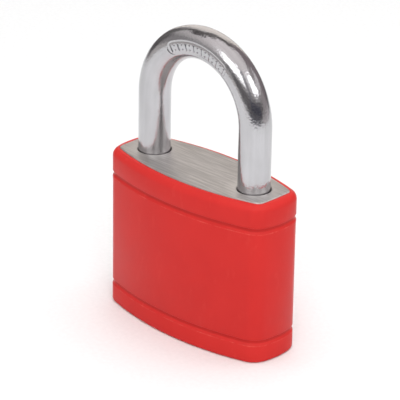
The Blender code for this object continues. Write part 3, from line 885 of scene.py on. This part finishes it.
def build_plate(steel):
    """The cover plate with its windows, the slide's slot and a reading mark beside the first dial."""
    outline = lens(PLATE_INSET)
    plate = finish_mesh("cover_plate", prism(outline, plate_low.z, plate_high.z), [steel], None)
    end = PLATE_INSET - END_X - BODY_BULGE
    tongue = block((end - 0.7, -TONGUE_HALF, plate_low.z + 0.001),
                   (end + 2, TONGUE_HALF, plate_high.z - 0.001))
    combine(plate, [cutter(tongue)], "UNION")
    chord = math.sqrt(DIAL ** 2 - (AXIS_Z - plate_high.z) ** 2) + 0.4
    below, above = -1, 4
    gap = 0.25
    corner = 0.35
    cuts = []
    for number in range(1, 5):
        low, high = corners(f"dial_{number}")
        window = rounded(low.x - gap, -chord, high.x + gap, chord, corner)
        cuts.append(prism(window, below, above))
    slide_end = slide_high.x + joint_range("code_change_shift") + 0.3
    cuts.append(prism(rounded(slide_low.x - 0.3, -2.1, slide_end, 2.1, corner), below, above))
    post_hole = ((1.5, below), (1.5, plate_low.z), (1.3, plate_low.z + 0.2), (1.3, above))
    cuts.append(turned(post_hole, (POST_X, 0), "Z", 32))
    first = corners("dial_1")[0].x
    mark = [(first - 2.4, -0.75), (first - 2.4, 0.75), (first - 1.0, 0.0)]
    cuts.append(prism(mark, below, plate_low.z + 0.22))
    combine(plate, [cutter(cut) for cut in cuts])
    soften(plate, 0.10)
    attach(plate, "body")
    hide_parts("bottom_plate")


def rounded(x0, y0, x1, y1, radius, steps=5):
    """A rectangle with round corners."""
    outline = []
    middles = ((x1 - radius, y1 - radius, 0), (x0 + radius, y1 - radius, 90),
               (x0 + radius, y0 + radius, 180), (x1 - radius, y0 + radius, 270))
    for x, y, first in middles:
        for i in range(steps + 1):
            turn = math.radians(first + 90 * i / steps)
            outline.append((x + radius * math.cos(turn), y + radius * math.sin(turn)))
    return outline


def build_slide(steel):
    """The change slide: its fork inside, and a ribbed thumb tab in the base."""
    thick = 0.8
    low = slide_low.x + 0.1
    high = low + thick
    reach = 1.5
    slide = finish_mesh("slide_fork", block((low, -3.0, 2.4), (high, 3.0, slide_high.z)), [steel], None)
    neck = block((low, -1.5, 1.5), (high, 1.5, 3))
    tab_top = plate_high.z - 0.05
    tab = prism(rounded(slide_low.x, -1.8, slide_high.x, 1.8, 0.3), slide_low.z, tab_top)
    combine(slide, [cutter(neck), cutter(tab)], "UNION")
    cuts = [block((low - 1, -reach, AXIS_Z - reach), (high + 1, reach, 12))]
    for n in range(3):
        x = slide_low.x + 0.42 + 0.36 * n
        cuts.append(block((x - 0.08, -1.3, -1), (x + 0.08, 1.3, slide_low.z + 0.14)))
    combine(slide, [cutter(cut) for cut in cuts])
    soften(slide, 0.05, 1)
    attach(slide, "tumblers")
    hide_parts("change_slide")


def build_post(steel):
    """The post whose riveted end shows in the base, bored for the screw from above."""
    seat = plate_high.z + 0.15
    profile = ((0.55, post_low.z), (0.85, post_low.z + 0.05), (1.05, post_low.z + 0.18),
               (1.1, post_low.z + 0.35), (1.1, seat), (1.8, seat), (1.9, seat + 0.1),
               (1.9, post_high.z - 0.1), (1.8, post_high.z))
    post = finish_mesh("riveted_post", turned(profile, (POST_X, 0), "Z", 48), [steel], None)
    combine(post, [cutter(turned(((1.3, 12.5), (1.3, 20)), (POST_X, 0), "Z", 32))])
    shade_by_angle(post, 35)
    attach(post, "body")
    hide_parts("cover_post")


def build_hex_screw(steel):
    """The threaded screw under the toe leg, with a hexagon socket in its head."""
    floor = TOE_FLOOR + 0.2
    shank = 1.15
    profile = [(shank - 0.3, screw_low.z), (shank, screw_low.z + 0.35)]
    pitch = 0.5
    threads = 14
    for n in range(threads):
        z = screw_low.z + 0.5 + n * pitch
        profile += [(shank, z), (shank - 0.2, z + pitch / 2)]
    profile += [(shank, screw_low.z + 0.6 + threads * pitch), (shank, floor), (1.9, floor),
                (2.0, floor + 0.1), (2.0, screw_high.z - 0.25), (1.9, screw_high.z - 0.08),
                (1.75, screw_high.z)]
    screw = finish_mesh("hex_screw", turned(profile, (POST_X, 0), "Z", 48), [steel], None)
    combine(screw, [cutter(turned(((0.9, floor + 0.5), (0.9, floor + 3)), (POST_X, 0), "Z", 6))])
    shade_by_angle(screw, 35)
    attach(screw, "body")
    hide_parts("assembly_screw")


def build_guide_screws(steel):
    """The two slotted screws that hold the plate under the fence springs."""
    for number in (1, 2):
        node = f"guide_screw_{number}"
        low, high = corners(node)
        centre = ((low.x + high.x) / 2, (low.y + high.y) / 2)
        head = low.z + 0.85
        profile = ((0.80, low.z), (1.05, low.z + 0.10), (1.18, low.z + 0.35), (1.18, head), (0.7, head),
                   (0.7, high.z))
        screw = finish_mesh(f"slotted_screw_{number}", turned(profile, centre, "Z", 40), [steel], None)
        slot = block((centre[0] - 2, centre[1] - 0.16, low.z - 1),
                     (centre[0] + 2, centre[1] + 0.16, low.z + 0.4))
        combine(screw, [cutter(slot)])
        shade_by_angle(screw, 35)
        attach(screw, "body")
        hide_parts(node)


def dress_frame(looks):
    """Give every node that stays as packed its material."""
    for name, node in frame["nodes"].items():
        look = looks["steel"]
        if name.startswith("tumbler"):
            look = looks["brass"]
        elif name.endswith("spring") or "spring_" in name:
            look = looks["spring"]
        elif name in ("fence_guide", "bearing_plate_left", "bearing_plate_right"):
            look = looks["plate"]
        for slot in node.material_slots:
            slot.material = look


# -------- stage

def towards(azimuth, elevation):
    """The direction to an azimuth, counted from the front, and an elevation, in radians."""
    level = math.cos(elevation)
    return Vector((math.sin(azimuth) * level, -math.cos(azimuth) * level, math.sin(elevation)))


def softbox(name, azimuth, elevation, distance, size, power):
    """An area light that faces the padlock; the angles are in degrees."""
    light = bpy.data.lights.new(name, "AREA")
    light.shape = "RECTANGLE"
    light.size, light.size_y = size[0] * MM, size[1] * MM
    light.energy = power
    holder = linked(name, light)
    away = towards(math.radians(azimuth), math.radians(elevation))
    holder.location = (Vector((0, 0, 40)) + away * distance) * MM
    holder.rotation_euler = away.to_track_quat("Z", "Y").to_euler()
    holder.visible_glossy = False


def glowing(name, shade):
    """A plain light-giving material; shade is a grey, or a colour."""
    look = bpy.data.materials.new(name)
    look.use_nodes = True
    shader = look.node_tree.nodes["Principled BSDF"]
    color = shade if isinstance(shade, tuple) else (shade, shade, shade)
    shader.inputs["Base Color"].default_value = (0.0, 0.0, 0.0, 1.0)
    shader.inputs["Roughness"].default_value = 1.0
    shader.inputs["Specular IOR Level"].default_value = 0.0
    shader.inputs["Emission Color"].default_value = (*color, 1.0)
    shader.inputs["Emission Strength"].default_value = 1.0
    return look


def mirrored_only(name, solid, look):
    """A stage object that shows in reflections and nowhere else."""
    mesh = bpy.data.meshes.new(name)
    solid.to_mesh(mesh)
    solid.free()
    mesh.materials.append(look)
    made = linked(name, mesh)
    made.visible_camera = False
    made.visible_diffuse = False
    made.visible_shadow = False
    made.visible_transmission = False
    made.visible_volume_scatter = False


def panel(name, azimuths, elevations, shade, share=1.0):
    """A patch of the mirrored room's wall between two azimuths and two elevations, in degrees.

    Share is how far out it stands, as a share of the panels' reach.
    """
    steps = 24
    reach = PANEL_REACH * share * MM
    solid = bmesh.new()
    grid = []
    for i in range(steps + 1):
        a = math.radians(azimuths[0] + (azimuths[1] - azimuths[0]) * i / steps)
        row = []
        for k in range(steps + 1):
            e = math.radians(elevations[0] + (elevations[1] - elevations[0]) * k / steps)
            row.append(solid.verts.new(Vector((0, 0, ROOM_EYE)) * MM + towards(a, e) * reach))
        grid.append(row)
    for one, other in zip(grid, grid[1:]):
        for k in range(steps):
            solid.faces.new((one[k], other[k], other[k + 1], one[k + 1]))
    mirrored_only(name, solid, glowing(name, shade))


def graded(name, top, stops):
    """A light-giving material that changes with the height, up to a top in millimetres."""
    look = glowing(name, 1.0)
    nodes, links = look.node_tree.nodes, look.node_tree.links
    height = nodes.new("ShaderNodeSeparateXYZ")
    links.new(nodes.new("ShaderNodeTexCoord").outputs["Object"], height.inputs["Vector"])
    level = nodes.new("ShaderNodeMapRange")
    level.inputs["From Max"].default_value = top * MM
    links.new(height.outputs["Z"], level.inputs["Value"])
    ramp = nodes.new("ShaderNodeValToRGB")
    links.new(level.outputs["Result"], ramp.inputs["Fac"])
    while len(ramp.color_ramp.elements) < len(stops):
        ramp.color_ramp.elements.new(0.5)
    for element, (position, color) in zip(ramp.color_ramp.elements, stops):
        element.position = position
        element.color = (*color, 1.0)
    links.new(ramp.outputs["Color"], nodes["Principled BSDF"].inputs["Emission Color"])
    return look


def build_room():
    """What the metal mirrors: a skirting all round, walls that grow paler upwards, and windows."""
    walls = graded("room_walls", ROOM, (
        (0.0, (0.16, 0.15, 0.15)), (0.26, (0.17, 0.16, 0.165)), (0.42, (0.60, 0.57, 0.56)),
        (0.80, (1.0, 0.94, 0.93)), (1.0, (1.08, 1.02, 1.01))))
    border = graded("skirting", ROOM_EYE, (
        (0.0, (0.66, 0.64, 0.64)), (0.22, (0.40, 0.385, 0.385)), (0.48, (0.14, 0.13, 0.135)),
        (1.0, (0.12, 0.11, 0.115))))
    dome = bmesh.new()
    bmesh.ops.create_uvsphere(dome, u_segments=64, v_segments=32, radius=ROOM * MM)
    everything = dome.verts[:] + dome.edges[:] + dome.faces[:]
    bmesh.ops.bisect_plane(dome, geom=everything, plane_co=(0, 0, MM), plane_no=(0, 0, 1), clear_inner=True)
    mirrored_only("room", dome, walls)
    edge = turned(((SKIRTING, 1.0), (SKIRTING, ROOM_EYE + 5)), (0, 0), "Z", 96)
    edge.transform(Matrix.Scale(MM, 4))
    caps = [face for face in edge.faces if len(face.verts) > 4]
    bmesh.ops.delete(edge, geom=caps, context="FACES_ONLY")
    mirrored_only("skirting", edge, border)
    panel("ground", (-180, 180), (-89, -3), 0.8)
    panel("front_window", (-13, 35), (25, 54), 2.7)
    panel("front_low", (-46, -14), (-1, 17), (0.52, 0.50, 0.50))
    panel("front_low_left", (-80, -46), (-1, 17), (0.36, 0.34, 0.34))
    panel("front_skirting", (-80, -12), (-11, 1), (0.62, 0.59, 0.57), SKIRTING_SHARE)
    panel("middle_skirting", (-12, 12), (-12, -6), (0.62, 0.60, 0.59), SKIRTING_SHARE)
    panel("near_skirting", (22, 82), (-12, -3), (0.13, 0.13, 0.15), SKIRTING_SHARE)
    panel("right_skirting", (98, 160), (-11, 0), (0.58, 0.54, 0.54), SKIRTING_SHARE)
    panel("near_gap", (39, 53), (12, 52), (0.32, 0.31, 0.33))
    panel("near_dark", (36, 94), (-1, 13), (0.078, 0.078, 0.105))
    panel("right_window", (74, 112), (25, 50), 3.0)
    panel("right_window_side", (58, 74), (34, 48), 1.1)
    panel("right_gap", (112, 150), (-1, 50), (0.42, 0.38, 0.38))
    panel("right_sill", (112, 160), (21, 34), (0.88, 0.84, 0.84), SILL_SHARE)
    panel("far_gap", (150, 198), (-1, 52), (0.30, 0.25, 0.26))
    panel("back_window", (-162, -121), (-1, 48), (1.12, 1.04, 0.96))
    panel("back_window_side", (-121, -110), (27, 47), (0.85, 0.79, 0.74))
    panel("upper_gap", (-180, -78), (50, 69), (0.18, 0.165, 0.16))
    panel("left_gap", (-110, -96), (-1, 50), (0.20, 0.19, 0.185))
    panel("left_block", (-96, -62), (39, 57), (0.12, 0.11, 0.11))


def build_stage():
    """A pale floor, a white sky, two soft lights and the mirrored room."""
    floor_look = Look("floor_paper", roughness=0.9)
    fibre = floor_look.noise(900, detail=4)
    floor_look.color(floor_look.mix(fibre, (0.86, 0.86, 0.86), (0.90, 0.90, 0.90)))
    solid = bmesh.new()
    bmesh.ops.create_grid(solid, x_segments=4, y_segments=4, size=3.0)
    mesh = bpy.data.meshes.new("floor")
    solid.to_mesh(mesh)
    solid.free()
    mesh.materials.append(floor_look.material)
    floor = linked("floor", mesh)

    world = bpy.data.worlds.new("studio")
    world.use_nodes = True
    background = world.node_tree.nodes["Background"]
    background.inputs["Color"].default_value = (1.0, 1.0, 1.0, 1.0)
    background.inputs["Strength"].default_value = 0.47
    world.cycles_visibility.glossy = False
    bpy.context.scene.world = world

    softbox("key_box", 48, 42, 700, (420, 420), 2.0)
    softbox("top_box", 180, 86, 900, (900, 900), 6.0)
    build_room()


def build_camera():
    """The photograph's view: a long lens, tilted a little round its own axis."""
    away = towards(CAMERA_AZIMUTH, CAMERA_ELEVATION)
    right = (-away).cross(Vector((0, 0, 1))).normalized()
    up = right.cross(-away)
    rolled_right = right * math.cos(CAMERA_ROLL) + up * math.sin(CAMERA_ROLL)
    rolled_up = up * math.cos(CAMERA_ROLL) - right * math.sin(CAMERA_ROLL)
    turn = Matrix((rolled_right, rolled_up, away)).transposed().to_4x4()
    camera = bpy.data.cameras.new("camera")
    camera.lens = LENS_MM
    camera.sensor_width = 36.0
    camera.clip_start = 0.01
    camera.clip_end = 20.0
    holder = linked("camera", camera)
    spot = (Vector(CAMERA_TARGET) + away * CAMERA_DISTANCE) * MM
    holder.matrix_world = Matrix.Translation(spot) @ turn
    bpy.context.scene.camera = holder


def main():
    bpy.context.scene.view_settings.view_transform = "Standard"
    build_camera()
    looks = {
        "steel": plated_look("machined_steel", (0.34, 0.34, 0.345), (0.50, 0.50, 0.505), 260, 0.36),
        "plate": plated_look("stamped_steel", (0.40, 0.40, 0.40), (0.55, 0.55, 0.545), 180, 0.34),
        "brass": plated_look("brass", (0.58, 0.40, 0.15), (0.74, 0.54, 0.24), 240, 0.28),
        "spring": plated_look("spring_steel", (0.20, 0.205, 0.22), (0.34, 0.345, 0.36), 400, 0.30),
    }
    polished = polished_look()
    dress_frame(looks)
    build_jacket(vinyl_look())
    build_body(brushed_look(), cast_look())
    build_shackle(polished)
    build_marks(polished)
    build_plate(looks["plate"])
    build_slide(looks["steel"])
    build_post(looks["steel"])
    build_hex_screw(looks["steel"])
    build_guide_screws(looks["steel"])
    black = dial_look()
    ink = number_look()
    for number in range(1, 5):
        build_dial(number, black, ink)
    build_spring("lift_coil", "shackle_spring", 0.3, 8, looks["spring"])
    build_spring("fence_coil_left", "fence_spring_left", 0.22, 8, looks["spring"])
    build_spring("fence_coil_right", "fence_spring_right", 0.22, 8, looks["spring"])
    build_stage()


main()
